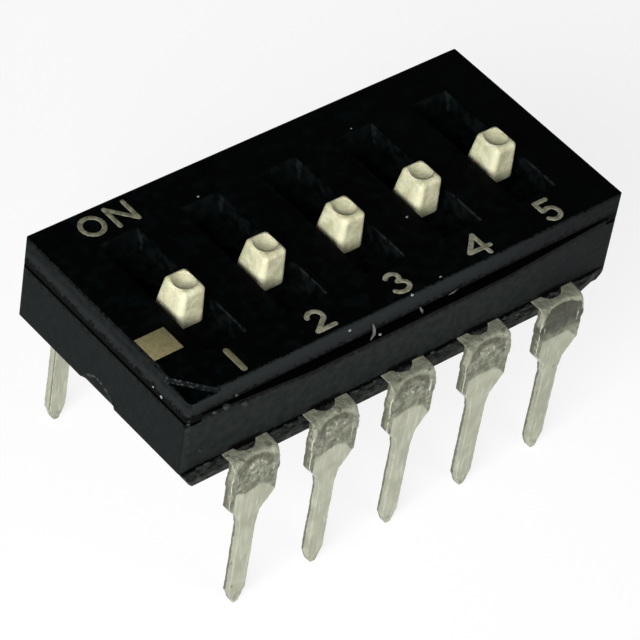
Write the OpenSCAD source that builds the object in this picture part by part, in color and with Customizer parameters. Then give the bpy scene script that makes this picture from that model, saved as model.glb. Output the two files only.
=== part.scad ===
// Five-way slide DIP switch for through-hole boards.
// The origin is the middle of the lead pattern on the board's top face, and +Z is up.
// X runs along the row of switches, and +Y points to the side where they are ON.
// Every slide is drawn OFF, at the end of its travel nearest to the numbered edge.

/* [Lead pattern] */
// Distance from one switch to the next, and from one lead to the next
pitch = 2.54; // [2.4:0.01:3.5]
// Distance between the middle planes of the two rows of leads
row_spacing = 7.62; // [7.5:0.01:8.6]

/* [Leads] */
// Thickness of the strip that the leads are cut from
lead_t = 0.25; // [0.15:0.01:0.3]
// Width of the contact pad inside the housing
pad_w = 1.2; // [0.8:0.01:1.4]
// Width of the lead where it leaves the housing
stub_w = 1.42; // [1.25:0.01:1.45]
// Distance from the inside of the long wall to the step between pad and stub
step_in = 0.12; // [0.05:0.01:0.2]
// Width of the shoulder that stops the lead at the board
shoulder_w = 1.48; // [1.46:0.01:1.9]
// Width of the lead just under the shoulder
neck_w = 0.68; // [0.6:0.01:0.9]
// Width of the tail that goes through the board
tail_w = 0.53; // [0.4:0.01:0.59]
// Height of the slope from the shoulder to the neck
shoulder_slope = 0.52; // [0.3:0.01:0.9]
// Height of the taper from the neck to the tail
neck_taper = 0.4; // [0.2:0.01:1]
// Length of the tail under the board's top face
tail_l = 3.78; // [2.6:0.01:5]
// Length of the pointed end of the tail
tip_l = 0.45; // [0.2:0.01:0.8]
// Width of the blunt end of the point
tip_w = 0.16; // [0.08:0.01:0.3]
// Radius inside the bend
bend_r = 0.05; // [0.03:0.01:0.15]
// Radius of the hole that locks the lead into the moulding
anchor_r = 0.38; // [0.25:0.01:0.4]
// Distance of that hole's centre inside the face of the long wall
anchor_in = 0.18; // [0.1:0.01:0.19]
// How far the cut stub of the tie bar stands out of the shoulder's edge
nib_out = 0.035; // [0.01:0.005:0.08]
// Height of that stub
nib_h = 0.34; // [0.1:0.01:0.4]
// Height of that stub's lower end over the board
nib_z = 0.7; // [0.6:0.01:0.8]
// Depth of the arched pressing on the outside of the bend
press_d = 0.035; // [0.01:0.005:0.06]
// Width of that pressing
press_w = 1.18; // [0.8:0.01:1.3]
// Radius of its arched upper edge, seen from above
press_r = 1.45; // [1:0.01:3]
// Distance of the arch's crown inside the lead's outer face
press_crown = 0.2; // [0.12:0.01:0.24]
// Height over the board at which the pressing fades out
press_z = 0.35; // [0.2:0.01:0.6]

/* [Housing] */
// Width across the two long walls
body_w = 6.73; // [6.5:0.01:6.95]
// Distance from the outer switch's middle to the end of the housing
end_margin = 1.98; // [1.6:0.01:2.6]
// Height of the underside over the board
stand_off = 1.1; // [0.6:0.01:2]
// Thickness of moulding under the leads
under_skin = 0.15; // [0.1:0.01:0.4]
// Height of the channels over the leads
channel_h = 1.4; // [1.35:0.01:2.4]
// Thickness of the long walls
side_wall = 0.6; // [0.58:0.01:0.8]
// Thickness of the wall round the cover's plug
rim_wall = 0.35; // [0.25:0.01:0.45]
// Width of the channel that each slide runs in
channel_w = 2; // [1.9:0.01:2.1]
// Radius of the upright corners
corner_r = 0.18; // [0.05:0.01:0.3]
// Bevel round the rim of the base
rim_bevel = 0.04; // [0.02:0.01:0.1]
// Height of the undercut at the two ends of the underside
end_lift = 0.32; // [0.1:0.01:0.38]
// Depth of that undercut
end_set = 0.3; // [0.1:0.01:0.6]
// How far the web of flash between the leads stands out of the long walls
web_out = 0.3; // [0.1:0.01:0.4]
// Distance between the web's faces and the lead's faces
web_step = 0.02; // [0.01:0.005:0.04]
// Length of the slope at the thin end of each web
web_fade = 1.15; // [0.3:0.01:1.2]
// Radius of the gate pocket at the foot of the end wall
gate_r = 0.74; // [0.4:0.01:1]
// Height of the gate pocket's crown over the underside
gate_h = 0.8; // [0.5:0.01:1]
// Depth of the gate pocket
gate_d = 0.22; // [0.1:0.01:0.4]

/* [Cover] */
// Thickness of the cover's rim along the two long walls
cover_t = 0.62; // [0.5:0.01:0.75]
// Bevel round the cover's upper face
cover_bevel = 0.05; // [0.02:0.01:0.1]
// Width of the recess round each knob
recess_w = 1.26; // [1:0.01:1.6]
// Length of the recess at the upper face
recess_l = 4.4; // [3.6:0.01:5]
// Depth of the recess
recess_depth = 0.6; // [0.5:0.01:0.8]
// How far each end of the recess slopes inwards
recess_slope = 0.25; // [0.1:0.01:0.5]
// Thickness of the floor under the recess
floor_t = 0.5; // [0.4:0.01:0.6]
// Clearance round the plug under the rim
plug_gap = 0.03; // [0.01:0.01:0.08]
// How much deeper the rim reaches at the two ends
end_skirt = 0.2; // [0.05:0.01:0.25]
// Height of the gap between the rim and the walls under it
joint_h = 0.09; // [0.06:0.01:0.12]
// How much deeper the long walls stand in their middle
wall_dip = 0.31; // [0.1:0.01:0.33]
// Length of the level middle of that dip
dip_flat = 6.4; // [3:0.01:9]
// Length of the dip from end to end
dip_l = 13.2; // [11:0.01:13.4]
// Length of the corner mark along the row of switches
mark_x = 0.86; // [0.4:0.01:1.2]
// Length of the corner mark across the row
mark_y = 0.96; // [0.4:0.01:1.2]
// Depth of the corner mark
mark_d = 0.17; // [0.08:0.01:0.3]

/* [Slide] */
// Distance that a slide travels from OFF to ON
travel = 1; // [0.8:0.01:1.2]
// Width of the knob at its top
knob_w = 0.72; // [0.56:0.01:0.8]
// Length of the knob at its top
knob_l = 0.88; // [0.65:0.01:0.95]
// Distance of the knob's near face from the slide's middle
knob_near = 0.4; // [0.3:0.01:0.45]
// How far the knob's far face slopes out from top to bottom
knob_slope = 0.18; // [0.05:0.01:0.4]
// How far each of its sides slopes out from top to bottom
knob_draft = 0.08; // [0:0.01:0.12]
// Height of the knob over the cover
knob_rise = 0.6; // [0.2:0.01:1]
// Radius of the knob's upper edges
knob_edge = 0.14; // [0.04:0.01:0.16]
// Radius of the knob's corners at its foot
knob_corner = 0.18; // [0.06:0.01:0.2]
// Radius of the dish in the knob's top, at its rim
dish_r = 0.33; // [0.2:0.01:0.34]
// Depth of the dish
dish_d = 0.15; // [0.05:0.01:0.2]
// Distance of the dish's middle past the middle of the knob's top
dish_in = 0.03; // [0:0.01:0.06]
// Width of the neck that joins the knob to its carriage
neck_slide_w = 0.26; // [0.24:0.01:0.5]
// Length of that neck
neck_slide_l = 0.6; // [0.45:0.01:0.64]
// Length of the carriage
carriage_l = 2.8; // [2.6:0.01:3.2]
// Thickness of the carriage's plate
carriage_t = 0.42; // [0.3:0.01:0.5]
// Thickness of the carriage's two legs
leg_t = 0.28; // [0.2:0.01:0.32]
// Clearance round a slide
run_gap = 0.05; // [0.03:0.01:0.08]

/* [Spring contact] */
// Thickness of the spring contact
spring_t = 0.1; // [0.06:0.01:0.14]
// Width of the spring contact
spring_w = 1.1; // [0.8:0.01:1.15]
// Distance from the slide's middle to each point of contact
arm_reach = 1; // [0.85:0.01:1.1]
// Half the length of the spring's flat middle
spring_flat = 0.42; // [0.35:0.01:0.5]
// How far the spring's ends turn up
toe_rise = 0.2; // [0.1:0.01:0.3]
// Length of each turned-up end
toe_l = 0.22; // [0.15:0.01:0.25]
// Width of the slit that parts each arm into two fingers
slit_w = 0.16; // [0.08:0.01:0.3]
// Radius of the stake that holds the spring
stake_r = 0.2; // [0.12:0.01:0.28]
// Clearance between the stake and the spring
stake_gap = 0.02; // [0.01:0.005:0.04]
// Clearance between the spring and the pads
touch_gap = 0.03; // [0.02:0.005:0.05]
// How far the long pad reaches past the spring when the switch is ON
pad_over = 0.25; // [0.15:0.01:0.35]

/* [Hidden] */
$fn = 48;

// How many switches stand in the row
SWITCHES = 5;
// How far a cutting shape reaches past what it cuts
OVER = 1;

body_l = (SWITCHES - 1) * pitch + 2 * end_margin;
lead_z0 = stand_off + under_skin;
lead_z1 = lead_z0 + lead_t;
rib_z = lead_z1 + channel_h;
recess_z = rib_z + floor_t;
top_z = recess_z + recess_depth;
rim_z = top_z - cover_t;
wall_z = rim_z - joint_h;

wall_y = body_w / 2;
cavity_y = wall_y - side_wall;
stub_y = cavity_y + step_in;
leg_y1 = row_spacing / 2 + lead_t / 2;
leg_y0 = leg_y1 - lead_t;
bend_out = bend_r + lead_t;
bend_y = leg_y1 - bend_out;
bend_z = lead_z1 - bend_out;
web_y = wall_y + web_out;
plug_in = rim_wall + plug_gap;
skirt_in = plug_in + plug_gap;

plate_z1 = rib_z - run_gap;
plate_z0 = plate_z1 - carriage_t;
carriage_w = channel_w - 2 * run_gap;
slot_w = neck_slide_w + 2 * run_gap;
slot_l = neck_slide_l + travel + 2 * run_gap;
toe_z = lead_z1 + touch_gap + spring_t / 2;

// The long pad stays under one arm, and the short pad is reached only in the ON position
long_pad_y = arm_reach - travel / 2 - pad_over;
short_pad_y = arm_reach;

function switch_x(i) = (i - (SWITCHES - 1) / 2) * pitch;

// Leads are numbered round the housing: along the near row, then back along the far row
function lead_x(n) = n <= SWITCHES ? switch_x(n - 1) : switch_x(2 * SWITCHES - n);

function mirrored(right) =
    concat(right, [for (k = [len(right) - 1 : -1 : 0]) [-right[k][0], right[k][1]]]);

function unit(v) = v / norm(v);
function left_of(v) = [-v[1], v[0]];
function mitre(path, k) =
    let (
        last = len(path) - 1,
        into = unit(path[max(k, 1)] - path[max(k, 1) - 1]),
        out = unit(path[min(k, last - 1) + 1] - path[min(k, last - 1)]),
        m = unit(left_of(into) + left_of(out))
    ) m / (m * left_of(out));

// The outline of a bent strip of thickness t whose middle follows the path
function strip(path, t) =
    concat(
        [for (k = [0 : len(path) - 1]) path[k] + mitre(path, k) * t / 2],
        [for (k = [len(path) - 1 : -1 : 0]) path[k] - mitre(path, k) * t / 2]
    );

// Draws a profile given as (y, z) points and extends it along X, centred
module along_x(length) {
    rotate([90, 0, 90])
        translate([0, 0, -length / 2])
            linear_extrude(length) children();
}

// Draws a profile given as (x, z) points and extends it along Y from y0 to y1
module along_y(y0, y1) {
    translate([0, y1, 0])
        rotate([90, 0, 0])
            linear_extrude(y1 - y0) children();
}

module rounded_bar(size, r) {
    difference() {
        translate([-size[0] / 2, -size[1] / 2, 0]) cube(size);
        for (sx = [-1, 1], sy = [-1, 1])
            translate([sx * (size[0] / 2 - r), sy * (size[1] / 2 - r), 0])
                difference() {
                    translate([sx > 0 ? 0 : -OVER, sy > 0 ? 0 : -OVER, -OVER])
                        cube([OVER, OVER, size[2] + 2 * OVER]);
                    translate([0, 0, -2 * OVER]) cylinder(r = r, h = size[2] + 4 * OVER);
                }
    }
}

// A bar with upright rounded corners and a bevel round its upper face
module housing_bar(z0, z1, bevel) {
    intersection() {
        translate([0, 0, z0]) rounded_bar([body_l, body_w, z1 - z0], corner_r);
        along_x(body_l + OVER)
            polygon(mirrored([[body_w / 2, z0], [body_w / 2, z1 - bevel], [body_w / 2 - bevel, z1]]));
        along_y(-body_w, body_w)
            polygon(mirrored([[body_l / 2, z0], [body_l / 2, z1 - bevel], [body_l / 2 - bevel, z1]]));
    }
}

// The flat part of a lead, from its contact pad to the start of the bend, going out along +Y
module lead_flat(pad_y) {
    translate([0, 0, lead_z0])
        difference() {
            union() {
                translate([-pad_w / 2, pad_y, 0]) cube([pad_w, bend_y - pad_y, lead_t]);
                translate([-stub_w / 2, stub_y, 0]) cube([stub_w, bend_y - stub_y, lead_t]);
            }
            translate([0, wall_y - anchor_in, -OVER]) cylinder(r = anchor_r, h = lead_t + 2 * OVER);
        }
}

module lead_bend() {
    intersection() {
        translate([-stub_w / 2, bend_y, bend_z])
            rotate([0, 90, 0])
                difference() {
                    cylinder(r = bend_out, h = stub_w);
                    translate([0, 0, -OVER]) cylinder(r = bend_r, h = stub_w + 2 * OVER);
                }
        translate([-stub_w, bend_y, bend_z]) cube([2 * stub_w, bend_out, bend_out]);
    }
}

module lead_leg() {
    flare = (shoulder_w - stub_w) / 2;
    shoulder_x = shoulder_w / 2;
    nib_x = shoulder_x + nib_out;
    along_y(leg_y0, leg_y1)
        polygon(mirrored([
            [stub_w / 2, bend_z],
            [shoulder_x, bend_z - flare],
            [shoulder_x, nib_z + nib_h],
            [nib_x, nib_z + nib_h - nib_out],
            [nib_x, nib_z + nib_out],
            [shoulder_x, nib_z],
            [shoulder_x, 0],
            [neck_w / 2, -shoulder_slope],
            [tail_w / 2, -shoulder_slope - neck_taper],
            [tail_w / 2, tip_l - tail_l],
            [tip_w / 2, -tail_l],
        ]));
}

// The shallow arched pressing that follows the outside of the bend and fades out down the leg
module lead_press() {
    intersection() {
        translate([0, leg_y1 - press_crown + press_r, -OVER])
            cylinder(r = press_r, h = top_z + OVER, $fn = 96);
        union() {
            along_x(press_w)
                polygon([
                    [leg_y1 - press_d, bend_z],
                    [leg_y1, press_z],
                    [leg_y1 + OVER, press_z],
                    [leg_y1 + OVER, bend_z],
                ]);
            difference() {
                translate([-press_w / 2, bend_y, bend_z]) cube([press_w, OVER, OVER]);
                translate([-press_w, bend_y, bend_z])
                    rotate([0, 90, 0]) cylinder(r = bend_out - press_d, h = 2 * press_w);
            }
        }
    }
}

module lead(pad_y) {
    difference() {
        union() {
            lead_flat(pad_y);
            lead_bend();
            lead_leg();
        }
        lead_press();
    }
}

// Places a lead of the near row (1 to 5) or the far row (6 to 10)
module at_lead(n) {
    translate([lead_x(n), 0, 0])
        rotate([0, 0, n <= SWITCHES ? 180 : 0]) children();
}

function pad_start(n) = n <= SWITCHES ? long_pad_y : short_pad_y;

module terminal(n) {
    color([0.74, 0.74, 0.67]) at_lead(n) lead(pad_start(n));
}

// Thin flash that the moulding leaves between the leads of one row, thinning out at one end
module web() {
    full_end = body_l / 2 - web_step;
    thin_end = corner_r - body_l / 2;
    translate([0, 0, lead_z0 + web_step])
        linear_extrude(lead_t - 2 * web_step)
            polygon([
                [thin_end, 0],
                [thin_end, wall_y],
                [thin_end + web_fade, web_y],
                [full_end, web_y],
                [full_end, 0],
            ]);
}

// The dip in the upper edge of a long wall
module wall_notch() {
    along_y(wall_y - rim_wall - plug_gap, wall_y + OVER)
        polygon(mirrored([
            [dip_flat / 2, wall_z - wall_dip],
            [dip_l / 2, wall_z],
            [dip_l / 2, wall_z + OVER],
        ]));
}

// The lowered upper edge of an end wall, which makes room for the rim's deeper end
module end_notch() {
    translate([body_l / 2 - skirt_in - plug_gap, -body_w, wall_z - end_skirt])
        cube([body_l, 2 * body_w, OVER]);
}

module base() {
    color([0.16, 0.17, 0.17])
    difference() {
        union() {
            housing_bar(stand_off, wall_z, rim_bevel);
            web();
            rotate([0, 0, 180]) web();
        }
        translate([rim_wall - body_l / 2, rim_wall - body_w / 2, rib_z])
            cube([body_l - 2 * rim_wall, body_w - 2 * rim_wall, OVER]);
        wall_notch();
        mirror([0, 1, 0]) wall_notch();
        end_notch();
        mirror([1, 0, 0]) end_notch();
        for (i = [0 : SWITCHES - 1])
            translate([switch_x(i) - channel_w / 2, -cavity_y, lead_z1])
                cube([channel_w, 2 * cavity_y, channel_h + OVER]);
        for (n = [1 : 2 * SWITCHES])
            at_lead(n) {
                lead_flat(pad_start(n));
                translate([-stub_w / 2, bend_y, lead_z0 - OVER]) cube([stub_w, OVER, lead_t + 2 * OVER]);
            }
        for (far = [0, 1])
            mirror([far, 0, 0])
                along_y(-body_w, body_w)
                    polygon([
                        [body_l / 2 - end_set, stand_off],
                        [body_l / 2, stand_off + end_lift],
                        [body_l / 2 + OVER, stand_off + end_lift],
                        [body_l / 2 + OVER, stand_off - OVER],
                        [body_l / 2 - end_set, stand_off - OVER],
                    ]);
        translate([-body_l / 2 - OVER, 0, stand_off + gate_h - gate_r])
            rotate([0, 90, 0]) cylinder(r = gate_r, h = OVER + gate_d);
    }
}

// The recess round one knob, with sloping ends, and the slot through its floor
module recess() {
    half = recess_l / 2;
    along_x(recess_w)
        polygon(mirrored([
            [half - recess_slope, recess_z],
            [half, top_z],
            [half, top_z + OVER],
        ]));
    translate([-slot_w / 2, -slot_l / 2, rib_z - OVER]) cube([slot_w, slot_l, floor_t + 2 * OVER]);
}

module corner_mark() {
    x0 = -body_l / 2;
    y0 = -body_w / 2;
    translate([0, 0, top_z - mark_d])
        linear_extrude(mark_d + OVER)
            polygon([
                [x0 - OVER, y0 - OVER],
                [x0 + mark_x + OVER * mark_x / mark_y, y0 - OVER],
                [x0 - OVER, y0 + mark_y + OVER * mark_y / mark_x],
            ]);
}

module cover() {
    color([0.05, 0.05, 0.055])
    difference() {
        union() {
            difference() {
                housing_bar(rim_z - end_skirt, top_z, cover_bevel);
                translate([skirt_in - body_l / 2, -body_w, rim_z - OVER])
                    cube([body_l - 2 * skirt_in, 2 * body_w, OVER]);
            }
            translate([plug_in - body_l / 2, plug_in - body_w / 2, rib_z])
                cube([body_l - 2 * plug_in, body_w - 2 * plug_in, rim_z - rib_z + cover_t / 2]);
        }
        for (i = [0 : SWITCHES - 1]) translate([switch_x(i), 0, 0]) recess();
        corner_mark();
    }
}

// A drafted knob with soft edges and a round dish in its top
module knob() {
    foot_z = recess_z + run_gap;
    knob_z = top_z + knob_rise;
    top_y = [-knob_near, knob_l - knob_near];
    foot_y = [-knob_near, knob_l - knob_near + knob_slope];
    top_x = knob_w / 2;
    foot_x = knob_w / 2 + knob_draft;
    dish_sphere = (dish_r * dish_r + dish_d * dish_d) / (2 * dish_d);
    difference() {
        hull()
            for (sx = [-1, 1], k = [0, 1]) {
                sy = 2 * k - 1;
                translate([sx * (top_x - knob_edge), top_y[k] - sy * knob_edge, knob_z - knob_edge])
                    sphere(r = knob_edge, $fn = 24);
                translate([sx * (foot_x - knob_corner), foot_y[k] - sy * knob_corner, foot_z])
                    cylinder(r = knob_corner, h = run_gap, $fn = 24);
            }
        translate([0, (top_y[0] + top_y[1]) / 2 + dish_in, knob_z - dish_d + dish_sphere])
            sphere(r = dish_sphere);
    }
}

module carriage() {
    for (s = [-1, 1])
        translate([s * (carriage_w / 2 - leg_t / 2) - leg_t / 2, -carriage_l / 2, lead_z1 + run_gap])
            cube([leg_t, carriage_l, plate_z1 - lead_z1 - run_gap]);
    translate([-carriage_w / 2, -carriage_l / 2, plate_z0])
        cube([carriage_w, carriage_l, carriage_t]);
    translate([0, 0, plate_z0 - 2 * spring_t]) cylinder(r = stake_r, h = 2 * spring_t + carriage_t / 2);
}

module slider(i) {
    color([0.88, 0.86, 0.74])
    translate([switch_x(i), -travel / 2, 0]) {
        knob();
        translate([-neck_slide_w / 2, -neck_slide_l / 2, plate_z1 - carriage_t / 2])
            cube([neck_slide_w, neck_slide_l, recess_z + 2 * run_gap - plate_z1 + carriage_t / 2]);
        carriage();
    }
}

module contact(i) {
    flat_z = plate_z0 - spring_t / 2;
    right = [
        [arm_reach + toe_l, toe_z + toe_rise],
        [arm_reach + toe_l / 3, toe_z + toe_rise / 6],
        [arm_reach, toe_z],
        [arm_reach - toe_l / 3, toe_z + toe_rise / 5],
        [spring_flat, flat_z],
    ];
    slit_y = spring_flat + slit_w;
    color([0.86, 0.68, 0.32])
    translate([switch_x(i), -travel / 2, 0])
        difference() {
            along_x(spring_w) polygon(strip(mirrored(right), spring_t));
            translate([0, 0, lead_z1]) cylinder(r = stake_r + stake_gap, h = channel_h);
            for (s = [0, 180])
                rotate([0, 0, s])
                    translate([-slit_w / 2, slit_y, lead_z1]) cube([slit_w, carriage_l, channel_h]);
        }
}

base();
cover();
terminal(1);  // terminal_1
terminal(2);  // terminal_2
terminal(3);  // terminal_3
terminal(4);  // terminal_4
terminal(5);  // terminal_5
terminal(6);  // terminal_6
terminal(7);  // terminal_7
terminal(8);  // terminal_8
terminal(9);  // terminal_9
terminal(10);  // terminal_10
slider(0);  // slider_1
slider(1);  // slider_2
slider(2);  // slider_3
slider(3);  // slider_4
slider(4);  // slider_5
contact(0);  // contact_1
contact(1);  // contact_2
contact(2);  // contact_3
contact(3);  // contact_4
contact(4);  // contact_5
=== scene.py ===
import random
from math import cos, pi, radians, sin

import bmesh
import bpy
from mathutils import Matrix, Vector, noise


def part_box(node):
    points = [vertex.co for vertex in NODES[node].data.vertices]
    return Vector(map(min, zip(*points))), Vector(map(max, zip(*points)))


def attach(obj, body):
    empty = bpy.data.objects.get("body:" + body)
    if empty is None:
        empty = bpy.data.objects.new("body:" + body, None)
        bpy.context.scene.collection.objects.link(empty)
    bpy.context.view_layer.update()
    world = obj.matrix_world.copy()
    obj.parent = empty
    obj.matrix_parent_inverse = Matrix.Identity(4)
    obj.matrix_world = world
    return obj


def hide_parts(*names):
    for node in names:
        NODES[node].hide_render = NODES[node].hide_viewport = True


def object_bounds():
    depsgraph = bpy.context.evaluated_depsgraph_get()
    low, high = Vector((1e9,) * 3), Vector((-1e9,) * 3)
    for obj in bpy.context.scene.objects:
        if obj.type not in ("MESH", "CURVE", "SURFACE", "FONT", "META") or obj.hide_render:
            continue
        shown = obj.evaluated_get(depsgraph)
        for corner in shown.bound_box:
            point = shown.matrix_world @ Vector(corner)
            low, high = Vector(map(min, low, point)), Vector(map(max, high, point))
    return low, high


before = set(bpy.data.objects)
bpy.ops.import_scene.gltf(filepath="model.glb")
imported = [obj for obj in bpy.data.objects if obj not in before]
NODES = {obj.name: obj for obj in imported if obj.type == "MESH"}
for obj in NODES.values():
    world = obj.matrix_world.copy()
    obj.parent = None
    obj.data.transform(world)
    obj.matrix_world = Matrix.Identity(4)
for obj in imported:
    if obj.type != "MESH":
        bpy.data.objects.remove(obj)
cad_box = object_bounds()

MM = 0.001
SWITCHES = 5
LEADS = 2 * SWITCHES

# Camera, worked out from the photograph: places in millimetres in the part's own frame
CAMERA_AT = Vector((-50.585, -48.879, 66.607)) * MM
CAMERA_AIM = Vector((-1.513, -1.727, 2.5)) * MM
CAMERA_ROLL = radians(9.98)
CAMERA_LENS = 211.12
SENSOR = 36.0

# Places that the pieces take from the frame
COVER_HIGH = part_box("cover")[1]
BASE_LOW, BASE_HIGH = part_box("base")
TOP = COVER_HIGH.z

# All lengths from here on are in millimetres, unless a comment says otherwise

# Where the housing's faces end, and how far apart the switches stand
HALF_X = COVER_HIGH.x / MM
HALF_Y = COVER_HIGH.y / MM
TOP_Z = TOP / MM
WALL_Z = BASE_HIGH.z / MM
KNOB_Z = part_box("slider_1")[1].z / MM
FOOT_Z = BASE_LOW.z / MM
WEB_Y = BASE_HIGH.y / MM
ROW = (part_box("slider_2")[0].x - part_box("slider_1")[0].x) / MM

# The foot of the cover's rim, and the height over which the base's inside is painted black, as shade
RIM_Z = 3.38
INSIDE_Z = 2.4

# Half the width and length of a recess at its top, and half the length of its floor
RECESS_X = 0.63
RECESS_Y = 2.2
RECESS_FOOT_Y = 1.95

# The ledge at the near left corner, and where the painted highlight on its wall is brightest
LEDGE_X = 0.86
LEDGE_Y = 0.96
LEDGE_HIGHLIGHT_X = -6.75

# The dip in the upper edge of the base's long walls, and the lower step at its ends
DIP_TO = 6.6
DIP_FROM = 3.2
DIP_DEPTH = 0.31
END_STEP = 0.2

# The web of flash between the leads: its upper face, its thickness and where it is too thin for crumbs
WEB_Z = 1.48
WEB_T = 0.21
WEB_END = 5.8

# The pale worn rim of the gate pocket in the left end: its middle and radius
SCAR_Y = 0.25
SCAR_Z = 1.1
SCAR_R = 0.42

# The dish in a slide's knob, where shade is painted, and the knob's near left corner, where a highlight
# is painted
DISH_Y = -0.43
DISH_R = 0.30
CORNER_X = 0.36
CORNER_Y = -0.90

# Printed strokes: half their width, half the width of the first digit's, and how far they stand up
STROKE = 0.072
WIDE_STROKE = 0.094
PRINT_RISE = 0.007

# The bevel round the square mark
MARK_BEVEL = 0.6 * PRINT_RISE

# Where the signs stand on the top face
DIGIT_Y = -2.80
DIGIT_OFF = -0.15
WORD_AT = (-5.40, 2.775)
WORD_GAP = 0.90
MARK_LOW = (-6.97, -1.81)
MARK_HIGH = (-6.08, -1.00)

# The line on each lead under which the solder is smooth: its height, its fall and its left edge
DIP_LINE = 0.41
DIP_CURVE = 1.5
DIP_LEFT = -0.62

# The arched pressing on a lead's bend: its middle, its radius and the height that it starts from
ARCH_Y = 5.2
ARCH_R = 1.41
BEND_Z = 0.95

# The burr on a lead's inner edges, the height of the painted highlights in the pocket under the bend,
# and the stained tip
BURR_Y = 3.725
POCKET_HIGHLIGHT_Z = 1.14
TIP_Z = -3.62

# The last lead of the near row is darker from here on
DARK_PATCH_X = 3.6

# The skin of solder: its voxels, how often it is smoothed, and the size and height of its waves
TIN_VOXEL = 0.03
SKIN_SMOOTHING = 3
LONG_WAVE = (0.45, 0.006)
SHORT_WAVE = (0.14, 0.009)

# The lumps on its dull part: size and height, and the heights over which they grow and fade
LUMPS = (0.2, 0.014)
LUMPS_GROW = (-0.2, 0.6)
LUMPS_FADE = (1.6, 1.4)

# How far the same waves are shifted from one lead to the next
SKIN_SHIFT = 0.37

# Crumbs of flash on the web between two leads: how many, how large, how flat and how far spread
CRUMBS = 9
CRUMB_SIZES = (0.03, 0.075)
CRUMB_SHAPE = (1.6, 0.8, 0.45)
CRUMB_SPREAD = 0.5
CRUMB_END = HALF_X - 0.35
CRUMB_SEED = 7

# How rough a crumb or a bit of lint is, and how small the bumps on it are
ROUGHNESS = 0.45
BUMPS = 1.7

# Lint and chips are a little flattened, and each is turned further than the last, in radians
BIT_SHAPE = (1.0, 0.7, 0.8)
BIT_TURN = 1.3

# How thin a fibre and a printed stroke get at their ends, as a share of their width
FIBRE_TIP = 0.35
STROKE_TIP = 0.02

# The lamps, with their power in watts: where each stands, how wide it is and what both aim at
LAMP_AIM = (0, 0, 2)
LAMPS = {
    "key": ((-88, -42, 52), 60, 0.135),
    "fill": ((10, -100, 40), 70, 0.028),
}
WORLD_STRENGTH = 0.045

# The paper floor: radius and rise in metres, how bright it looks and how much of that is its own glow
FLOOR_PROFILE = [(0.0, 0.0), (0.35, 0.0), (0.42, 0.01), (0.47, 0.04), (0.5, 0.09), (0.51, 0.2)]
FLOOR_STEPS = 64
FLOOR_GLOW = 1.15
FLOOR_SHARE = 0.72

# The sockets of a Mix node that works on colours
MIX_AMOUNT = 0
MIX_LOW = 6
MIX_HIGH = 7
MIX_RESULT = 2

# Bits of lint on the mouldings: place and radius
LINT = [
    ((-2.12, -3.36, 3.82), 0.045),
    ((-1.03, -3.37, 3.12), 0.05),
    ((-0.12, -3.34, 3.98), 0.045),
    ((0.90, -3.23, 4.00), 0.035),
    ((1.60, -1.10, 4.00), 0.035),
    ((2.54, 2.26, 4.00), 0.03),
    ((-2.47, 2.26, 4.00), 0.035),
]

# Pale dots on the left end, by the joint: y, z and radius
END_DOTS = [(-2.31, 3.25, 0.055), (-1.98, 3.31, 0.035)]

# Grey chips of moulding along the joint: place and radius
CHIPS = [
    ((-7.00, -3.32, 3.26), 0.035),
    ((-6.98, -3.30, 3.13), 0.05),
    ((-6.54, -3.37, 2.06), 0.07),
    ((-6.25, -3.36, 3.20), 0.07),
    ((-5.90, -3.37, 3.22), 0.10),
    ((-5.60, -3.36, 3.45), 0.06),
    ((-5.28, -3.37, 2.99), 0.11),
]

# Short fibres caught in the gap under the cover: points and radius
FIBRES = [
    ([(-1.38, -3.39, 3.68), (-1.32, -3.42, 3.50), (-1.31, -3.43, 3.32), (-1.36, -3.40, 3.12)], 0.042),
    ([(0.20, -3.39, 3.44), (0.26, -3.41, 3.32), (0.33, -3.39, 3.18)], 0.040),
    ([(1.17, -3.38, 3.37), (1.30, -3.39, 3.39), (1.47, -3.38, 3.44)], 0.022),
]


class Signal:
    """A shader socket that takes part in sums: each sum adds its own Math node."""

    def __init__(self, finish, socket):
        self.finish = finish
        self.socket = socket

    def maths(self, operation, *terms):
        return self.finish.node("ShaderNodeMath", {"operation": operation}, dict(enumerate(terms)))

    def __add__(self, other):
        return self.maths("ADD", self, other)

    def __sub__(self, other):
        return self.maths("SUBTRACT", self, other)

    def __rsub__(self, other):
        return self.maths("SUBTRACT", other, self)

    def __mul__(self, other):
        return self.maths("MULTIPLY", self, other)

    __radd__ = __add__
    __rmul__ = __mul__

    def size(self):
        return self.maths("ABSOLUTE", self)

    def root(self):
        return self.maths("SQRT", self)

    def more(self, other):
        return self.maths("MAXIMUM", self, other)

    def less(self, other):
        return self.maths("MINIMUM", self, other)

    def under(self, limit, blur):
        """1 where this is under the limit, falling to 0 over the blur."""
        return 1 - self.step(limit, limit + blur)

    def swing(self, reach):
        """A noise from 0 to 1 as a sway about 0, over that reach."""
        return (self - 0.5) * reach

    def wrap(self, span):
        """The same place in each stretch of that span, from minus a half to plus a half of it."""
        return self.maths("WRAP", self, span / 2, -span / 2)

    def step(self, low, high):
        """Rises smoothly from 0 at low to 1 at high."""
        values = {"Value": self, "From Min": low, "From Max": high}
        return self.finish.node("ShaderNodeMapRange", {"interpolation_type": "SMOOTHSTEP"}, values)


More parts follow.
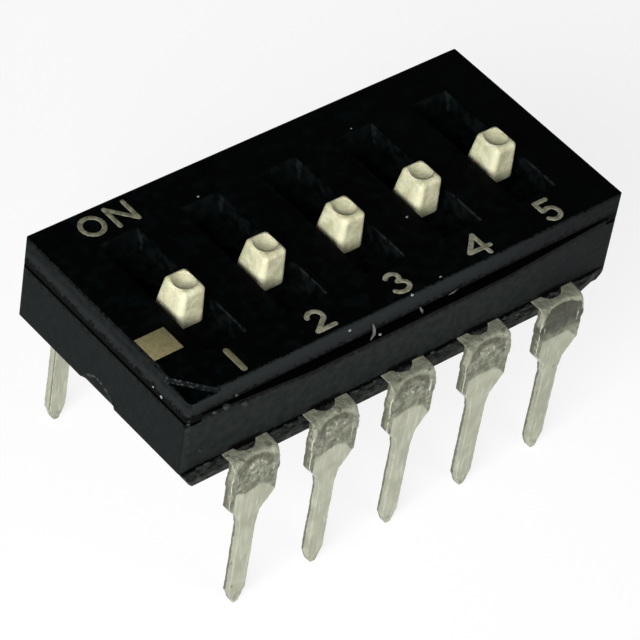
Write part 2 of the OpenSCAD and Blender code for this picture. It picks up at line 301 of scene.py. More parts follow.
class Finish:
    """One material: its node tree, and the patterns that the finishes share, sized in millimetres."""

    def __init__(self, name, **fixed):
        self.material = bpy.data.materials.new(name)
        self.material.use_nodes = True
        self.tree = self.material.node_tree
        self.shader = self.tree.nodes["Principled BSDF"]
        for socket, value in fixed.items():
            self.shader.inputs[socket.replace("_", " ")].default_value = value
        self.place = self.node("ShaderNodeTexCoord", output="Object")

    def node(self, kind, settings=None, values=None, output=0):
        new = self.tree.nodes.new(kind)
        for name, value in (settings or {}).items():
            setattr(new, name, value)
        for name, value in (values or {}).items():
            if isinstance(value, Signal):
                self.tree.links.new(value.socket, new.inputs[name])
            else:
                new.inputs[name].default_value = value
        return Signal(self, new.outputs[output])

    def stretched(self, stretch):
        return self.node("ShaderNodeMapping", None, {"Vector": self.place, "Scale": stretch})

    def noise(self, size, detail=3.0, stretch=None):
        place = self.stretched(stretch) if stretch else self.place
        values = {"Vector": place, "Scale": 1 / (size * MM), "Detail": detail}
        return self.node("ShaderNodeTexNoise", {"noise_dimensions": "3D"}, values)

    def specks(self, spacing, radius, share, stretch=None):
        """Dots of that radius, in a share of the cells of that spacing."""
        place = self.stretched(stretch) if stretch else self.place
        values = {"Vector": place, "Scale": 1 / (spacing * MM)}
        far = self.node("ShaderNodeTexVoronoi", None, values)
        cell = self.node("ShaderNodeTexVoronoi", None, values, "Color")
        chance = self.node("ShaderNodeSeparateColor", None, {"Color": cell})
        reach = radius / spacing
        return (1 - far.step(reach * 0.6, reach)) * chance.step(1 - share, 1 - share + 0.02)

    def part(self, vector, axis):
        return self.node("ShaderNodeSeparateXYZ", None, {"Vector": vector}, axis)

    def along(self, axis):
        """The place along an axis, in millimetres."""
        return self.part(self.place, axis) * (1 / MM)

    def facing(self, axis):
        return self.part(self.node("ShaderNodeTexCoord", output="Normal"), axis)

    def mix(self, amount, low, high):
        """The low colour where the amount is 0 and the high one where it is 1."""
        values = {MIX_AMOUNT: amount}
        for socket, colour in ((MIX_LOW, low), (MIX_HIGH, high)):
            values[socket] = colour if isinstance(colour, Signal) else (*colour, 1)
        return self.node("ShaderNodeMix", {"data_type": "RGBA"}, values, MIX_RESULT)

    def feed(self, socket, signal):
        self.tree.links.new(signal.socket, self.shader.inputs[socket])

    def bump(self, height, depth):
        """Height from 0 to 1, over that depth in millimetres."""
        values = {"Height": height, "Distance": depth * MM, "Strength": 1.0}
        self.feed("Normal", self.node("ShaderNodeBump", None, values))


def distance(across, along):
    """How far a place is, from the two parts of the way to it."""
    return (across * across + along * along).root()


def beyond_walls(x, y):
    """How far a place lies outside the housing's long and end faces."""
    return (x.size() - HALF_X).more(y.size() - HALF_Y)


def cover_black():
    """Deep black on top and dark grey moulding on the flanks, partly a real difference of finish and
    partly painted light, with a dusty green-grey in the recesses, painted highlights in them and on the
    ledge, painted shade along the joint and painted black inside the rim.
    """
    f = Finish("cover_black", Specular_IOR_Level=0.03)
    x, y, z = (f.along(axis) for axis in "XYZ")
    fine = f.noise(0.05, 4.0)
    jag = f.noise(0.10, 3.0)
    drift = f.noise(0.7, 2.0)
    level = 1 - f.facing("Z").step(0.75, 0.97)
    out = beyond_walls(x, y)
    wall = out.step(-0.08, -0.05) * level
    long_side = y.size().step(HALF_Y - 0.03, HALF_Y - 0.02)
    depth = TOP_Z - z
    side = wall * (depth + jag.swing(0.25)).step(-0.02, 0.01)
    side = side.more((out + jag.swing(0.25) + drift.swing(0.22)).step(-0.035, -0.01))

    pit = depth.step(0.02, 0.06) * y.size().under(RECESS_Y + 0.05, 0.05) * (1 - wall)
    local = x.wrap(ROW)
    cloud = f.noise(0.28, 4.0).step(0.36, 0.68)
    # Painted light on the far end wall and floor of each recess.
    far_end_light = y.step(1.25, 1.9) * local.step(-0.55, 0.2)
    dusty = f.mix(cloud, (0.0007, 0.0014, 0.0016), (0.0050, 0.0072, 0.0070))
    dusty = f.mix(far_end_light * (0.3 + cloud * 0.5), dusty, (0.0034, 0.0056, 0.0054))
    # A painted highlight on the fillet in the far +X corner of each recess.
    corner = (local - RECESS_X).size().under(0.012, 0.03) * y.step(RECESS_FOOT_Y - 0.08, RECESS_FOOT_Y)
    corner = corner * f.noise(0.14, 2.0).step(0.34, 0.58)
    dusty = f.mix(corner * depth.under(0.65, 0.03), dusty, (0.011, 0.016, 0.0155))
    # A painted highlight along the top edge of each recess's +X wall, towards its near end.
    crease_highlight = (local - RECESS_X).size().under(0.018, 0.02) * depth.under(0.045, 0.03) * y.under(-1.3, 0.5)
    crease_highlight = crease_highlight * y.step(-RECESS_Y, -RECESS_Y + 0.05) * f.noise(0.16, 3.0).step(0.32, 0.58)

    patch = f.noise(0.3, 5.0).step(0.48, 0.66) * (1 - x.step(3.5, 6.0) * 0.7)
    # The top is painted near black and the flanks dark grey, told apart by facing: partly a real
    # difference of finish, partly painted shade on the top and painted light on the flanks.
    top = f.mix(patch, (0.0, 0.0003, 0.0004), (0.0012, 0.0030, 0.0032))
    shade = f.noise(0.22, 4.0).step(0.35, 0.65)
    flank = f.mix(shade, (0.0060, 0.0082, 0.0082), (0.0115, 0.0135, 0.0130))
    flank = f.mix(fine.step(0.55, 0.8) * 0.5, flank, (0.024, 0.027, 0.027))
    pale = long_side * (depth.under(0.2, 0.35) * 0.45 + 0.25) * (1 - x.step(1.0, 6.0) * 0.8)
    pale = pale.more(depth.step(0.28, 0.42) * (1 - long_side) * 0.4)
    flank = f.mix(pale, flank, (0.025, 0.029, 0.030))
    # Painted shade in a ragged black band along the joint with the base, widening the gap's shadow.
    joint_shade_end = (depth + jag.swing(0.6)).step(0.56, 0.65) * 0.95 * (1 - long_side)
    joint_shade_long = (depth + jag.swing(0.45)).step(0.50, 0.55) * long_side
    # Painted shade: the cover's inside, under its rim, is painted black.
    inside = depth.step(TOP_Z - RIM_Z, TOP_Z - RIM_Z + 0.01) * out.under(-0.05, 0.02)
    joint_shade = joint_shade_end.more(joint_shade_long)
    colour = f.mix(pit, top, dusty)
    colour = f.mix(crease_highlight, colour, (0.018, 0.021, 0.021))
    colour = f.mix(side, colour, f.mix(joint_shade, flank, (0.0010, 0.0012, 0.0013)))
    colour = f.mix(inside, colour, (0.0, 0.0, 0.0))
    for dot_y, dot_z, radius in END_DOTS:
        dot = distance(y - dot_y, z - dot_z).under(radius * 0.6, radius * 0.4)
        colour = f.mix(dot * x.under(-HALF_X + 0.02, 0.02), colour, (0.30, 0.31, 0.30))

    # A painted highlight on the ledge's slanting wall, brightest towards its left end.
    slant = (x + HALF_X) * (1 / LEDGE_X) + (y + HALF_Y) * (1 / LEDGE_Y)
    ledge_wall_highlight = (slant - 1).size().under(0.035, 0.045) * depth.step(0.0, 0.02) * depth.under(0.16, 0.02)
    ledge_glints = f.noise(0.09, 2.0).step(0.50, 0.68) * (0.3 + x.under(LEDGE_HIGHLIGHT_X, 0.45) * 0.7)
    colour = f.mix(ledge_wall_highlight, colour, f.mix(ledge_glints, (0.006, 0.008, 0.009), (0.065, 0.070, 0.072)))
    dots = f.specks(0.8, 0.035, 0.07)
    f.feed("Base Color", f.mix(dots * (0.15 + side * 0.6), colour, (0.20, 0.20, 0.195)))
    f.feed("Roughness", 0.42 + side * 0.2 + pit * 0.15 + fine * 0.08)
    f.bump(fine * (0.2 + side * 0.8) + jag * side * 0.6, 0.007)
    return f.material


def base_black():
    """Dark grey moulding, with painted shade: darker end faces, a ragged black band along its joint with
    the cover, black inside, and black over the leads and along the webs' roots.
    """
    f = Finish("base_black", Specular_IOR_Level=0.06)
    x, y, z = (f.along(axis) for axis in "XYZ")
    fine = f.noise(0.06, 4.0)
    jag = f.noise(0.13, 3.0)
    cloud = f.noise(0.24, 4.0).step(0.35, 0.65)
    colour = f.mix(cloud, (0.0104, 0.0140, 0.0134), (0.0180, 0.0215, 0.0205))
    colour = f.mix(fine.step(0.55, 0.8) * 0.5, colour, (0.032, 0.037, 0.036))
    # Painted shade: the end faces are painted darker than the long sides.
    colour = f.mix(f.facing("X").size().step(0.8, 0.95) * 0.75, colour, (0.0030, 0.0055, 0.0055))

    long_side = y.size().step(HALF_Y - 0.02, HALF_Y - 0.01)
    fall = (DIP_TO - x.size()) * (1 / (DIP_TO - DIP_FROM))
    rim_z = WALL_Z - fall.more(0.0).less(1.0) * DIP_DEPTH
    end_rim = WALL_Z - END_STEP
    # Painted shade in a ragged black band under the joint with the cover.
    joint_shade_long = (z - rim_z + jag.swing(0.3) + cloud.swing(0.06)).step(-0.20, -0.05) * long_side
    joint_shade_end = (z - end_rim + jag.swing(0.6)).step(-0.09, -0.02) * (1 - long_side)
    colour = f.mix(x.step(2.5, 7.0) * 0.7, colour, (0.0040, 0.0062, 0.0060))
    colour = f.mix(joint_shade_long.more(joint_shade_end), colour, (0.0012, 0.0014, 0.0015))
    scar_y = y - SCAR_Y
    scar_z = z - SCAR_Z
    scar = ((scar_y * scar_y * 0.6 + scar_z * scar_z).root() - SCAR_R).size().under(0.02, 0.04)
    scar = scar * (1 - long_side) * x.under(0.0, 0.1) * f.noise(0.12, 3.0).step(0.42, 0.58)
    colour = f.mix(scar * 0.8, colour, (0.075, 0.080, 0.078))
    # Painted shade: the base's inside, and its upward faces above INSIDE_Z, are painted black.
    inside_shade = beyond_walls(x, y).under(-0.08, 0.015)
    inside_shade = inside_shade.more(f.facing("Z").step(0.6, 0.8)) * z.step(INSIDE_Z, INSIDE_Z + 0.1)
    colour = f.mix(inside_shade, colour, (0.0, 0.0, 0.0))

    local = x.wrap(ROW)
    web = y.size().step(HALF_Y + 0.005, HALF_Y + 0.015)
    # Painted shade: a black line along the foot of the wall over the web, and black over each lead's
    # hole.
    web_line_shade = (z + jag * 0.14).under(WEB_Z + 0.12, 0.03) * z.step(WEB_Z - 0.01, WEB_Z)
    shade_over_lead = local.size().under(0.42, 0.2) * (z + jag * 0.2).under(WEB_Z + 0.22, 0.12)
    colour = f.mix(web_line_shade.more(shade_over_lead) * long_side * (1 - web), colour, (0.0010, 0.0011, 0.0011))
    streak = f.noise(0.10, 3.0, (0.35, 1.0, 1.0))
    ragged = f.mix(streak.step(0.34, 0.66), (0.010, 0.012, 0.011), (0.044, 0.047, 0.043))
    ragged = f.mix(f.noise(0.2).step(0.55, 0.7) * 0.5, ragged, (0.085, 0.086, 0.080))
    # Painted shade where the web meets the wall, broken up by noise.
    root = y.size().under(HALF_Y + 0.05, 0.03) * jag.step(0.35, 0.5)
    colour = f.mix(web, colour, f.mix(root, ragged, (0.0012, 0.0013, 0.0013)))
    soiled = z.under(FOOT_Z + 0.12, 0.25) * f.noise(0.25).step(0.4, 0.7)
    colour = f.mix(soiled * 0.6, colour, (0.030, 0.027, 0.021))
    f.feed("Base Color", f.mix(f.specks(0.7, 0.03, 0.10) * 0.5, colour, (0.20, 0.20, 0.19)))
    f.feed("Roughness", 0.55 + jag * 0.2)
    f.bump(fine + jag * (0.6 + web * 2.0), 0.008)
    return f.material


def slide_cream():
    """Cream plastic with a cloudy, slightly greenish tone, with painted shade in the dish and at the
    foot and a painted highlight on the near left edge.
    """
    f = Finish("slide_cream", Specular_IOR_Level=0.4, Subsurface_Weight=0.1, Subsurface_Scale=0.0002)
    x, y, z = (f.along(axis) for axis in "XYZ")
    cloud = f.noise(0.30, 4.0)
    grain = f.noise(0.05, 4.0)
    colour = f.mix(cloud.step(0.35, 0.65), (0.85, 0.835, 0.58), (0.62, 0.605, 0.375))
    colour = f.mix(grain.step(0.48, 0.70) * 0.35, colour, (0.46, 0.44, 0.27))
    colour = f.mix((1 - grain.step(0.30, 0.50)) * 0.3, colour, (0.95, 0.94, 0.70))
    local = x.wrap(ROW)
    inward = y - DISH_Y
    across = (local - inward) * 0.55
    along = (local + inward - 0.04) * 0.71
    reach = distance(across, along) + f.noise(0.12).swing(0.10)
    # Painted shade in the dish, wider than the moulded dish, and a darker painted shadow on its near
    # lip.
    dish = reach.under(DISH_R - 0.035, 0.035) * z.step(KNOB_Z - 0.25, KNOB_Z - 0.2)
    lip_shadow = (reach - DISH_R + 0.035).size().under(0.0, 0.06) * inward.under(0.0, 0.12) * dish
    dish_shade = f.mix(cloud.step(0.35, 0.6), (0.71, 0.695, 0.475), (0.55, 0.535, 0.355))
    colour = f.mix(dish * 0.85, colour, dish_shade)
    colour = f.mix(lip_shadow * (0.3 + grain * 0.8), colour, (0.30, 0.285, 0.18))
    # A painted highlight along the knob's near left vertical edge, fading over its left face.
    near = (local + CORNER_X).more((y - CORNER_Y) * 0.35).under(0.03, 0.14) * z.under(KNOB_Z - 0.12, 0.1)
    colour = f.mix(near * (0.3 + cloud * 0.8), colour, (0.95, 0.93, 0.66))
    # Painted shade towards the knob's foot.
    foot = z.under(TOP_Z - 0.62, 0.3)
    colour = f.mix(foot * (0.35 + grain * 0.5), colour, (0.30, 0.29, 0.18))
    f.feed("Base Color", colour)
    f.feed("Roughness", 0.42 + grain * 0.2)
    f.bump(grain + cloud * 2.0, 0.014)
    return f.material


def lead_tin():
    """Solder: smooth and bright on the tails, dull, lumpy and stained over the dip line, with painted
    highlights and painted shade.
    """
    f = Finish("lead_tin", Specular_IOR_Level=0.5)
    x, y, z = (f.along(axis) for axis in "XYZ")
    wave = f.noise(0.45, 3.0)
    local = x.wrap(ROW)
    fall = (local - 0.15).more(0.0)
    dip = DIP_LINE - fall * fall * DIP_CURVE
    above = (z - dip + wave.swing(0.3)).step(-0.04, 0.06)
    above = above.more(local.under(DIP_LEFT, 0.06) * z.step(-0.35, -0.2))
    grain = f.noise(0.045, 4.0)
    cloud = f.noise(0.55, 4.0)
    mottle = f.noise(0.16, 4.0)
    streak = f.noise(0.09, 3.0, (1.0, 1.0, 0.15))
    bright = f.mix(cloud.step(0.3, 0.7), (0.50, 0.515, 0.395), (0.40, 0.41, 0.31))
    bright = f.mix(streak.step(0.5, 0.75) * 0.55, bright, (0.72, 0.73, 0.62))
    bright = f.mix((1 - streak.step(0.28, 0.38)) * 0.35, bright, (0.30, 0.30, 0.22))
    dull = f.mix(mottle.step(0.32, 0.68), (0.32, 0.33, 0.245), (0.15, 0.155, 0.11))
    reach = distance(local, y.size() - ARCH_Y) + mottle.swing(0.08)
    high = z.step(BEND_Z, BEND_Z + 0.1)
    hood = reach.step(ARCH_R, ARCH_R + 0.03) * high
    dull = f.mix(hood * 0.5, dull, (0.42, 0.43, 0.33))
    # Painted highlights, mostly in the pocket under the bend.
    rise = z - POCKET_HIGHLIGHT_Z
    pocket = (local * local * 4.0 + rise * rise * 22.0).under(0.3, 0.7)
    pocket_highlights = f.noise(0.09, 3.0).step(0.50, 0.66) * pocket.more(f.noise(0.5, 1.0).step(0.55, 0.65) * 0.6)
    dull = f.mix(pocket_highlights * 0.8, dull, (0.66, 0.66, 0.55))
    side = f.facing("X").size()
    bright = f.mix(x.step(1.5, 4.5) * 0.12, bright, (0.20, 0.20, 0.14))
    # The near row's last lead is darker over its dull part, outside the hood.
    dark_patch = x.step(DARK_PATCH_X, DARK_PATCH_X + 0.8) * y.under(0.0, 0.1) * (1 - hood)
    dark_patch = dark_patch * (z + mottle.swing(0.3)).step(0.20, 0.95)
    dull = f.mix(dark_patch * 0.92, dull, (0.050, 0.052, 0.037))
    colour = f.mix(above, bright, dull)
    # A painted highlight along the rounded edges between a lead's side and front faces.
    strip = side.step(0.12, 0.35) * side.under(0.7, 0.2) * z.under(1.1, 0.1) * (0.3 + above * 0.4)
    strip = strip.more(y.step(0.0, 0.1) * side.step(0.12, 0.35) * side.under(0.7, 0.2) * 0.7)
    colour = f.mix(strip * mottle.step(0.36, 0.52), colour, (0.80, 0.80, 0.70))
    # A painted shadow line along the upper edge of the arched pressing.
    arch_shadow = (reach - ARCH_R + 0.035).size().under(0.015, 0.04) * high * (0.5 + mottle * 0.7)
    inner = y.size() + mottle.swing(0.12)
    # Painted shade on the side faces of the near row's leads.
    flank = side.step(0.72, 0.9) * y.under(0.0, 0.1)
    upper = inner.under(3.80, 0.04) * z.step(-0.15, 0.0) * z.under(0.75, 0.15)
    flank = flank * upper.more(inner.under(3.76, 0.03))
    # Real stains and dark specks, joined with the painted shadow line and the painted shade on the side
    # faces.
    stain_and_shade = f.noise(0.26, 4.0).step(0.60, 0.68) * above
    stain_and_shade = stain_and_shade.more(arch_shadow).more(flank).more(z.under(TIP_Z, 0.25) * mottle.step(0.4, 0.55) * 0.5)
    stain_and_shade = stain_and_shade.more(f.specks(0.35, 0.05, 0.35, (1.0, 1.0, 0.45)) * grain.step(0.4, 0.6))
    burr = y.size().under(BURR_Y, 0.02) * side.step(0.5, 0.8) * z.under(1.0, 0.2)
    stain_and_shade = stain_and_shade.more(burr * grain.step(0.25, 0.5))
    f.feed("Base Color", f.mix((stain_and_shade * 0.8).less(0.9), colour, (0.075, 0.070, 0.045)))
    f.feed("Metallic", 0.80 - above * 0.35 - stain_and_shade * 0.4)
    f.feed("Roughness", 0.34 + grain * 0.15 + above * 0.2)
    f.bump(grain * (0.3 + above * 0.6) + mottle * (0.4 + above * 1.4), 0.020)
    return f.material


def contact_gilt():
    """Thin gilded strip, slightly worn."""
    f = Finish("contact_gilt", Metallic=1.0)
    wear = f.noise(0.2, 3.0)
    f.feed("Base Color", f.mix(wear.step(0.4, 0.7), (0.78, 0.58, 0.27), (0.62, 0.46, 0.22)))
    f.feed("Roughness", 0.25 + wear * 0.2)
    f.bump(f.noise(0.06), 0.003)
    return f.material


def print_khaki(name, light, dark):
    """Pad print, worn through in small grains."""
    f = Finish(name, Specular_IOR_Level=0.25)
    cloud = f.noise(0.16, 3.0)
    grain = f.noise(0.04, 3.0)
    colour = f.mix(cloud.step(0.35, 0.7), light, dark)
    f.feed("Base Color", f.mix(grain.step(0.5, 0.75) * 0.55, colour, (0.10, 0.095, 0.06)))
    f.feed("Roughness", 0.55 + grain * 0.2)
    f.bump(grain, 0.004)
    return f.material


def lint_white(name, light, dark):
    """Matt dust in two tones."""
    f = Finish(name, Roughness=0.8, Specular_IOR_Level=0.2)
    f.feed("Base Color", f.mix(f.noise(0.1).step(0.35, 0.65), light, dark))
    f.bump(f.noise(0.03), 0.004)
    return f.material


def crumb_grey():
    """Broken moulding, duller than the walls."""
    f = Finish("crumb_grey", Roughness=0.7, Specular_IOR_Level=0.2)
    cloud = f.noise(0.14, 3.0).step(0.35, 0.7)
    f.feed("Base Color", f.mix(cloud, (0.010, 0.012, 0.012), (0.045, 0.048, 0.047)))
    f.bump(f.noise(0.04), 0.005)
    return f.material


def floor_paper():
    """White paper, with the plain white background laid over it for the camera and for reflections."""
    f = Finish("floor_paper", Roughness=0.95)
    f.feed("Base Color", f.mix(f.noise(40.0), (0.88, 0.88, 0.88), (0.86, 0.86, 0.86)))
    path = f.tree.nodes.new("ShaderNodeLightPath")
    seen = Signal(f, path.outputs["Is Camera Ray"])
    for ray in ("Is Glossy Ray", "Is Transmission Ray"):
        seen = seen.more(Signal(f, path.outputs[ray]))
    glow = f.node("ShaderNodeEmission", None, {"Color": (1, 1, 1, 1), "Strength": FLOOR_GLOW})
    paper = Signal(f, f.shader.outputs[0])
    both = f.node("ShaderNodeMixShader", None, {0: seen * FLOOR_SHARE, 1: paper, 2: glow})
    f.tree.links.new(both.socket, f.tree.nodes["Material Output"].inputs["Surface"])
    return f.material


def make_camera():
    data = bpy.data.cameras.new("camera")
    data.lens = CAMERA_LENS
    data.sensor_width = SENSOR
    data.clip_start = 1 * MM
    data.clip_end = 4000 * MM
    camera = bpy.data.objects.new("camera", data)
    turn = (CAMERA_AIM - CAMERA_AT).to_track_quat("-Z", "Y").to_matrix().to_4x4()
    camera.matrix_world = Matrix.Translation(CAMERA_AT) @ turn @ Matrix.Rotation(CAMERA_ROLL, 4, "Z")
    bpy.context.scene.collection.objects.link(camera)
    bpy.context.scene.camera = camera


def softbox(name, at, aim, size, watts):
    data = bpy.data.lights.new(name, "AREA")
    data.shape = "SQUARE"
    data.size = size * MM
    data.energy = watts
    light = bpy.data.objects.new(name, data)
    place = Vector(at) * MM
    turn = (Vector(aim) * MM - place).to_track_quat("-Z", "Y").to_matrix().to_4x4()
    light.matrix_world = Matrix.Translation(place) @ turn
    bpy.context.scene.collection.objects.link(light)


def make_world(strength):
    world = bpy.data.worlds.new("world")
    bpy.context.scene.world = world
    world.use_nodes = True
    back = world.node_tree.nodes["Background"]
    back.inputs["Color"].default_value = (1, 1, 1, 1)
    back.inputs["Strength"].default_value = strength


def new_piece(name, shape, material):
    """A finished mesh piece made from a bmesh in metres."""
    mesh = bpy.data.meshes.new(name)
    shape.to_mesh(mesh)
    shape.free()
    mesh.materials.append(material)
    mesh.shade_smooth()
    piece = bpy.data.objects.new(name, mesh)
    bpy.context.scene.collection.objects.link(piece)
    return piece


def make_floor(material):
    """A round sheet of paper whose rim curves up behind the part."""
    sheet = bmesh.new()
    z = cad_box[0].z
    ring = [sheet.verts.new((x, 0, z + rise)) for x, rise in FLOOR_PROFILE]
    edges = [sheet.edges.new(pair) for pair in zip(ring, ring[1:])]
    bmesh.ops.spin(
        sheet,
        geom=ring + edges,
        cent=(0, 0, 0),
        axis=(0, 0, 1),
        angle=2 * pi,
        steps=FLOOR_STEPS,
        use_merge=True,
    )
    bmesh.ops.remove_doubles(sheet, verts=sheet.verts, dist=1e-6)
    bmesh.ops.recalc_face_normals(sheet, faces=sheet.faces)
    if sheet.faces[0].normal.z < 0:
        bmesh.ops.reverse_faces(sheet, faces=sheet.faces)
    new_piece("floor", sheet, material)


def arc(centre, across, along, start, end, steps=9):
    """Points of an elliptical arc, angles in degrees."""
    turns = [radians(start + (end - start) * k / steps) for k in range(steps + 1)]
    return [(centre[0] + across * cos(t), centre[1] + along * sin(t)) for t in turns]


# Each sign is a stroke round its own middle, in millimetres
SIGNS = {
    "1": [(-0.05, 0.34), (-0.05, -0.34)],
    "2": arc((-0.01, 0.11), 0.215, 0.2, 160, -38) + [(-0.26, -0.32), (0.28, -0.32)],
    "3": arc((-0.03, 0.165), 0.185, 0.155, 150, -75) + arc((-0.02, -0.165), 0.25, 0.18, 78, -158),
    "4": [(0.21, -0.39), (0.20, 0.31), (-0.29, -0.17), (0.37, -0.18)],
    "5": [(0.18, 0.35), (-0.19, 0.35), (-0.19, 0.03)] + arc((-0.01, -0.14), 0.23, 0.215, 122, -150),
    "O": arc((0, 0), 0.31, 0.31, 90, -252, 19),
    "N": [(-0.29, -0.34), (-0.29, 0.33), (0.29, -0.34), (0.29, 0.33)],
}
ROUND_END = 4
SHARP_TURN = radians(50)


def stroke_points(line, stroke):
    """The line with its two ends rounded: place and share of the full width for each point."""
    def end(tip, inner):
        back = Vector(inner) - Vector(tip)
        back.normalize()
        turns = [pi / 2 * k / ROUND_END for k in range(ROUND_END)]
        return [(Vector(tip) - back * (stroke * cos(t)), max(sin(t), STROKE_TIP)) for t in turns]

    middle = [(Vector(p), 1.0) for p in line]
    return end(line[0], line[1]) + middle + end(line[-1], line[-2])[::-1]


def straight_runs(line):
    """The line cut at its sharp corners, so that each stroke keeps its full width up to the corner."""
    runs = []
    run = [line[0]]
    for before, corner, after in zip(line, line[1:], line[2:]):
        run.append(corner)
        if (Vector(corner) - Vector(before)).angle(Vector(after) - Vector(corner)) > SHARP_TURN:
            runs.append(run)
            run = [corner]
    return runs + [run + [line[-1]]]


def tube(shape, points, radius, closed=False):
    """Adds a round strand through points given in millimetres with their share of the full width."""
    curve = bpy.data.curves.new("strand", "CURVE")
    curve.dimensions = "3D"
    curve.bevel_depth = radius * MM
    curve.bevel_resolution = 2
    curve.use_fill_caps = True
    spline = curve.splines.new("POLY")
    spline.points.add(len(points) - 1)
    spline.use_cyclic_u = closed
    for point, (place, width) in zip(spline.points, points):
        point.co = (*(place.to_3d() * MM), 1)
        point.radius = width
    pen = bpy.data.objects.new("pen", curve)
    bpy.context.scene.collection.objects.link(pen)
    bpy.context.view_layer.update()
    shape.from_mesh(pen.evaluated_get(bpy.context.evaluated_depsgraph_get()).to_mesh())
    bpy.data.objects.remove(pen)


def sign(name, line, at, closed, material, stroke=STROKE):
    """One printed sign: a flattened stroke, half sunk in the top face."""
    shape = bmesh.new()
    if closed:
        tube(shape, [(Vector(p), 1.0) for p in line], stroke, True)
    else:
        for run in straight_runs(line):
            tube(shape, stroke_points(run, stroke), stroke)
    bmesh.ops.remove_doubles(shape, verts=shape.verts, dist=1e-7)
    bmesh.ops.scale(shape, vec=(1, 1, PRINT_RISE / stroke), verts=shape.verts)
    bmesh.ops.translate(shape, vec=(at[0] * MM, at[1] * MM, TOP), verts=shape.verts)
    bmesh.ops.recalc_face_normals(shape, faces=shape.faces)
    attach(new_piece(name, shape, material), "housing")


def crumb(shape, place, radius, stretch, seed):
    """A small lump of broken-off material, added to the shape."""
    new = bmesh.ops.create_icosphere(shape, subdivisions=2, radius=radius * MM)["verts"]
    for v in new:
        v.co *= 1 + ROUGHNESS * noise.noise(v.co.normalized() * BUMPS + Vector((seed, 0, 0)))
    bmesh.ops.scale(shape, vec=stretch, verts=new)
    bmesh.ops.rotate(shape, cent=(0, 0, 0), matrix=Matrix.Rotation(seed, 3, "X"), verts=new)
    bmesh.ops.translate(shape, vec=Vector(place) * MM, verts=new)


def make_bits(name, bits, material):
    """One piece of scattered lint or chips."""
    shape = bmesh.new()
    for k, (place, radius) in enumerate(bits):
        crumb(shape, place, radius, BIT_SHAPE, BIT_TURN * k)
    bmesh.ops.recalc_face_normals(shape, faces=shape.faces)
    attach(new_piece(name, shape, material), "housing")


def make_fibres(material):
    """Bent strands with thin ends, one piece each."""
    for k, (line, radius) in enumerate(FIBRES):
        points = [(Vector(p), 1.0) for p in line]
        points[0] = (points[0][0], FIBRE_TIP)
        points[-1] = (points[-1][0], FIBRE_TIP)
        shape = bmesh.new()
        tube(shape, points, radius)
        bmesh.ops.remove_doubles(shape, verts=shape.verts, dist=1e-7)
        bmesh.ops.recalc_face_normals(shape, faces=shape.faces)
        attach(new_piece(f"fibre_{k + 1}", shape, material), "housing")


def make_crumbs(material):
    """Broken flash on the webs between the leads."""
    chance = random.Random(CRUMB_SEED)
    for row, side in (("near", -1), ("far", 1)):
        shape = bmesh.new()
        for gap in range(SWITCHES + 1):
            middle = (gap - SWITCHES / 2) * ROW
            for _ in range(CRUMBS):
                x = middle + chance.uniform(-CRUMB_SPREAD, CRUMB_SPREAD)
                y = side * chance.uniform(HALF_Y + 0.02, WEB_Y - 0.06)
                size = chance.uniform(*CRUMB_SIZES)
                z = chance.choice((WEB_Z, WEB_Z, WEB_Z - WEB_T))
                if abs(x) < CRUMB_END and -side * x < WEB_END:
                    crumb(shape, (x, y, z), size, CRUMB_SHAPE, chance.uniform(0, 9))
        bmesh.ops.recalc_face_normals(shape, faces=shape.faces)
        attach(new_piece(f"crumbs_{row}", shape, material), "housing")


def square_mark(material):
    """The plain printed square beside the first switch."""
    low = Vector((*MARK_LOW, 0)) * MM
    high = Vector((*MARK_HIGH, 0)) * MM
    shape = bmesh.new()
    bmesh.ops.create_cube(shape, size=1.0)
    size = high - low
    bmesh.ops.scale(shape, vec=(size.x, size.y, 2 * PRINT_RISE * MM), verts=shape.verts)
    rim = [e for e in shape.edges if all(v.co.z > 0 for v in e.verts)]
    width = MARK_BEVEL * MM
    bmesh.ops.bevel(shape, geom=rim, offset=width, affect="EDGES", segments=2, profile=0.5, material=-1)
    middle = (low + high) / 2
    bmesh.ops.translate(shape, vec=(middle.x, middle.y, TOP), verts=shape.verts)
    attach(new_piece("square_mark", shape, material), "housing")


def make_legends():
    """The digits, the word ON and the square mark on the top face."""
    khaki = print_khaki("print_khaki", (0.35, 0.345, 0.25), (0.16, 0.155, 0.105))
    worn = print_khaki("print_worn", (0.28, 0.28, 0.19), (0.11, 0.11, 0.075))
    brown = print_khaki("print_brown", (0.18, 0.178, 0.10), (0.115, 0.112, 0.06))
    ochre = print_khaki("print_ochre", (0.27, 0.24, 0.12), (0.21, 0.185, 0.09))
    for k in range(SWITCHES):
        at = ((k - (SWITCHES - 1) / 2) * ROW + DIGIT_OFF, DIGIT_Y)
        look = (khaki, STROKE) if k else (brown, WIDE_STROKE)
        sign(f"digit_{k + 1}", SIGNS[str(k + 1)], at, False, *look)
    sign("letter_O", SIGNS["O"], WORD_AT, True, worn)
    sign("letter_N", SIGNS["N"], (WORD_AT[0] + WORD_GAP, WORD_AT[1]), False, worn)
    square_mark(ochre)


def ripple(place, wave):
    """Smooth noise up and down, for a wave given by its size and height."""
    size, height = wave
    return height * noise.noise(place / (size * MM))


def ramp(value, start, end):
    """Rises evenly from 0 at the start to 1 at the end."""
    return max(0.0, min(1.0, (value - start) / (end - start)))


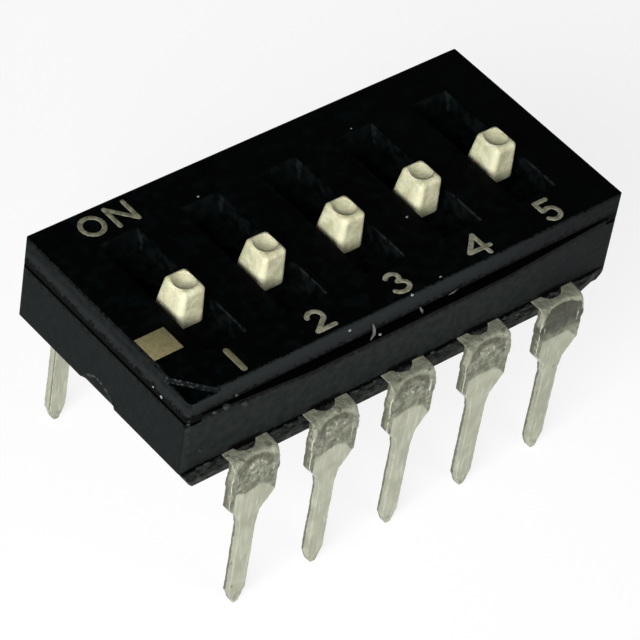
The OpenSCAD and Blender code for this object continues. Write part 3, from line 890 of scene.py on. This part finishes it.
def tin_lead(i, material):
    """The lead with its skin of solder: soft edges, small waves and lumps, kept inside its own box."""
    node = NODES[f"terminal_{i}"]
    low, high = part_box(node.name)
    shape = bmesh.new()
    shape.from_mesh(node.data)
    bmesh.ops.remove_doubles(shape, verts=shape.verts, dist=1e-7)
    name = f"tinned_lead_{i}"
    piece = new_piece(name, shape, material)
    remesh = piece.modifiers.new("skin", "REMESH")
    remesh.mode = "VOXEL"
    remesh.voxel_size = TIN_VOXEL * MM
    bpy.context.view_layer.update()
    skin = bpy.data.meshes.new_from_object(piece.evaluated_get(bpy.context.evaluated_depsgraph_get()))
    piece.modifiers.clear()
    shape = bmesh.new()
    shape.from_mesh(skin)
    for _ in range(SKIN_SMOOTHING):
        bmesh.ops.smooth_vert(
            shape, verts=shape.verts, factor=0.5, use_axis_x=True, use_axis_y=True, use_axis_z=True
        )
    shape.normal_update()
    shift = Vector((0, 0, SKIN_SHIFT * i * MM))
    for v in shape.verts:
        z = v.co.z / MM
        wave = ripple(v.co + shift, LONG_WAVE) + ripple(v.co - shift, SHORT_WAVE)
        wave += ramp(z, *LUMPS_GROW) * ramp(z, *LUMPS_FADE) * ripple(v.co + 2 * shift, LUMPS)
        v.co += v.normal * (wave * MM)
        v.co = Vector([min(max(c, a), b) for c, a, b in zip(v.co, low, high)])
    shape.to_mesh(skin)
    shape.free()
    skin.name = name
    skin.materials.clear()
    skin.materials.append(material)
    skin.shade_smooth()
    piece.data = skin
    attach(piece, "housing")
    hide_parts(node.name)


def dress(name, material):
    """Gives a CAD node its finish."""
    node = NODES[name]
    node.data.materials.clear()
    node.data.materials.append(material)


make_camera()
for name, (place, size, watts) in LAMPS.items():
    softbox(name, place, LAMP_AIM, size, watts)
make_world(WORLD_STRENGTH)
make_floor(floor_paper())

cream = slide_cream()
gilt = contact_gilt()
tin = lead_tin()
dress("cover", cover_black())
dress("base", base_black())
for k in range(1, SWITCHES + 1):
    dress(f"slider_{k}", cream)
    dress(f"contact_{k}", gilt)
for k in range(1, LEADS + 1):
    dress(f"terminal_{k}", tin)
    tin_lead(k, tin)
make_legends()
make_bits("lint", LINT, lint_white("lint_white", (0.34, 0.35, 0.34), (0.20, 0.205, 0.20)))
make_fibres(lint_white("fibre_grey", (0.13, 0.13, 0.125), (0.075, 0.076, 0.07)))
grey = crumb_grey()
make_bits("chips", CHIPS, grey)
make_crumbs(grey)

bpy.context.scene.view_settings.view_transform = "Standard"
